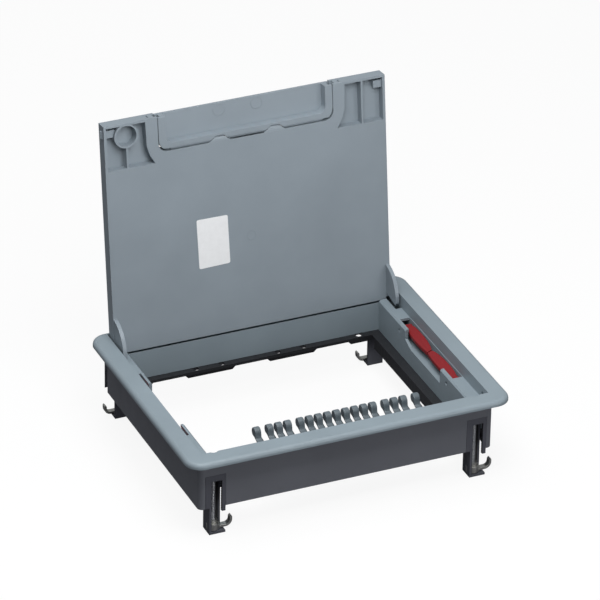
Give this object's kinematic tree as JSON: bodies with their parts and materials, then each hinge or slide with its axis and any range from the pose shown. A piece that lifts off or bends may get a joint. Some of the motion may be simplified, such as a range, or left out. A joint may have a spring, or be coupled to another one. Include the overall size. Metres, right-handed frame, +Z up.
{
  "type": "floor socket box",
  "caption": "Floor socket box with an open hinged lid, cable flap, lock levers, cable comb and clamping claws.",
  "frame": {"origin": "centre of the cut-out in the floor, in the plane of the finished floor (underside of the flange)", "axes": "+Z up out of the floor, +X along the lid's hinge line, +Y towards the hinge"},
  "size_m": [0.264, 0.2226, 0.2463],
  "materials": {
    "trim_plastic": "fine-grained blue-grey moulding",
    "lid_plastic": "fine-grained blue-grey moulding",
    "housing_plastic": "dark grey moulding",
    "guide_plastic": "black glass-filled moulding",
    "black_steel": "black powder coat on pressed steel",
    "zinc_steel": "zinc plated steel",
    "dark_steel": "black oxide steel",
    "plate_steel": "brushed steel sheet",
    "red_plastic": "red moulding"
  },
  "bodies": {
    "box_frame": {"trim_frame": "trim_plastic", "housing_skirt": "housing_plastic", "support_frame": "black_steel", "cable_comb": "trim_plastic", "lever_pins": "zinc_steel", "lid_hinge_pin_right": "zinc_steel", "lid_hinge_pin_left": "zinc_steel", "claw_guide_rear_right": "guide_plastic", "claw_guide_front_right": "guide_plastic", "claw_guide_rear_left": "guide_plastic", "claw_guide_front_left": "guide_plastic"},
    "lid": {"lid_shell": "lid_plastic", "lid_plate": "plate_steel", "flap_pin_left": "zinc_steel", "flap_pin_right": "zinc_steel"},
    "flap": {"cable_flap": "lid_plastic"},
    "catch_right": {"lid_catch_right": "lid_plastic"},
    "catch_left": {"lid_catch_left": "lid_plastic"},
    "lever_right_rear": {"lock_lever_right_rear": "red_plastic"},
    "lever_right_front": {"lock_lever_right_front": "red_plastic"},
    "lever_left_rear": {"lock_lever_left_rear": "red_plastic"},
    "lever_left_front": {"lock_lever_left_front": "red_plastic"},
    "screw_rear_right": {"claw_screw_rear_right": "dark_steel"},
    "bush_rear_right": {"claw_bush_rear_right": "zinc_steel"},
    "claw_rear_right": {"claw_rear_right": "zinc_steel"},
    "screw_front_right": {"claw_screw_front_right": "dark_steel"},
    "bush_front_right": {"claw_bush_front_right": "zinc_steel"},
    "claw_front_right": {"claw_front_right": "zinc_steel"},
    "screw_rear_left": {"claw_screw_rear_left": "dark_steel"},
    "bush_rear_left": {"claw_bush_rear_left": "zinc_steel"},
    "claw_rear_left": {"claw_rear_left": "zinc_steel"},
    "screw_front_left": {"claw_screw_front_left": "dark_steel"},
    "bush_front_left": {"claw_bush_front_left": "zinc_steel"},
    "claw_front_left": {"claw_front_left": "zinc_steel"}
  },
  "joints": [
    {"name": "lid_hinge", "type": "hinge", "parent": "box_frame", "child": "lid", "pos_m": [0, 0.0888, -0.0005], "axis": [1, 0, 0], "range_deg": [0, 96.6]},
    {"name": "flap_hinge", "type": "hinge", "parent": "lid", "child": "flap", "pos_m": [0, 0.10381, 0.1536], "axis": [1, 0, 0], "range_deg": [0, 40], "stiffness_Nm_per_rad": 0.03, "springref_deg": -20.05},
    {"name": "catch_slide_right", "type": "slide", "parent": "lid", "child": "catch_right", "axis": [-1, 0, 0], "range_m": [0, 0.0018], "stiffness_N_per_m": 400, "springref_m": -0.0005},
    {"name": "catch_slide_left", "type": "slide", "parent": "lid", "child": "catch_left", "axis": [1, 0, 0], "range_m": [0, 0.0018], "stiffness_N_per_m": 400, "springref_m": -0.0005},
    {"name": "lever_pivot_right_rear", "type": "hinge", "parent": "box_frame", "child": "lever_right_rear", "pos_m": [0.112, 0.0432, -0.0125], "axis": [1, 0, 0], "range_deg": [-75, 0]},
    {"name": "lever_pivot_right_front", "type": "hinge", "parent": "box_frame", "child": "lever_right_front", "pos_m": [0.112, -0.0432, -0.0125], "axis": [-1, 0, 0], "range_deg": [-75, 0]},
    {"name": "lever_pivot_left_rear", "type": "hinge", "parent": "box_frame", "child": "lever_left_rear", "pos_m": [-0.112, 0.0432, -0.0125], "axis": [1, 0, 0], "range_deg": [-75, 0]},
    {"name": "lever_pivot_left_front", "type": "hinge", "parent": "box_frame", "child": "lever_left_front", "pos_m": [-0.112, -0.0432, -0.0125], "axis": [-1, 0, 0], "range_deg": [-75, 0]},
    {"name": "screw_turn_rear_right", "type": "hinge", "parent": "box_frame", "child": "screw_rear_right", "pos_m": [0.1072, 0.0919, -0.04], "axis": [0, 0, -1], "range_deg": [0, 14400]},
    {"name": "bush_climb_rear_right", "type": "slide", "parent": "box_frame", "child": "bush_rear_right", "axis": [0, 0, 1], "range_m": [0, 0.028]},
    {"name": "claw_swing_rear_right", "type": "hinge", "parent": "bush_rear_right", "child": "claw_rear_right", "pos_m": [0.1072, 0.0919, -0.058], "axis": [0, 0, -1], "range_deg": [0, 90]},
    {"name": "screw_turn_front_right", "type": "hinge", "parent": "box_frame", "child": "screw_front_right", "pos_m": [0.1072, -0.0907, -0.04], "axis": [0, 0, -1], "range_deg": [0, 14400]},
    {"name": "bush_climb_front_right", "type": "slide", "parent": "box_frame", "child": "bush_front_right", "axis": [0, 0, 1], "range_m": [0, 0.028]},
    {"name": "claw_swing_front_right", "type": "hinge", "parent": "bush_front_right", "child": "claw_front_right", "pos_m": [0.1072, -0.0907, -0.058], "axis": [0, 0, -1], "range_deg": [0, 90]},
    {"name": "screw_turn_rear_left", "type": "hinge", "parent": "box_frame", "child": "screw_rear_left", "pos_m": [-0.1072, 0.0919, -0.04], "axis": [0, 0, -1], "range_deg": [0, 14400]},
    {"name": "bush_climb_rear_left", "type": "slide", "parent": "box_frame", "child": "bush_rear_left", "axis": [0, 0, 1], "range_m": [0, 0.028]},
    {"name": "claw_swing_rear_left", "type": "hinge", "parent": "bush_rear_left", "child": "claw_rear_left", "pos_m": [-0.1072, 0.0919, -0.058], "axis": [0, 0, -1], "range_deg": [0, 90]},
    {"name": "screw_turn_front_left", "type": "hinge", "parent": "box_frame", "child": "screw_front_left", "pos_m": [-0.1072, -0.0907, -0.04], "axis": [0, 0, -1], "range_deg": [0, 14400]},
    {"name": "bush_climb_front_left", "type": "slide", "parent": "box_frame", "child": "bush_front_left", "axis": [0, 0, 1], "range_m": [0, 0.028]},
    {"name": "claw_swing_front_left", "type": "hinge", "parent": "bush_front_left", "child": "claw_front_left", "pos_m": [-0.1072, -0.0907, -0.058], "axis": [0, 0, -1], "range_deg": [0, 90]}
  ],
  "couplings": [
    {"joint": "screw_turn_rear_right", "follows": "bush_climb_rear_right", "rad_per_m": 8976},
    {"joint": "screw_turn_front_right", "follows": "bush_climb_front_right", "rad_per_m": 8976},
    {"joint": "screw_turn_rear_left", "follows": "bush_climb_rear_left", "rad_per_m": 8976},
    {"joint": "screw_turn_front_left", "follows": "bush_climb_front_left", "rad_per_m": 8976}
  ]
}
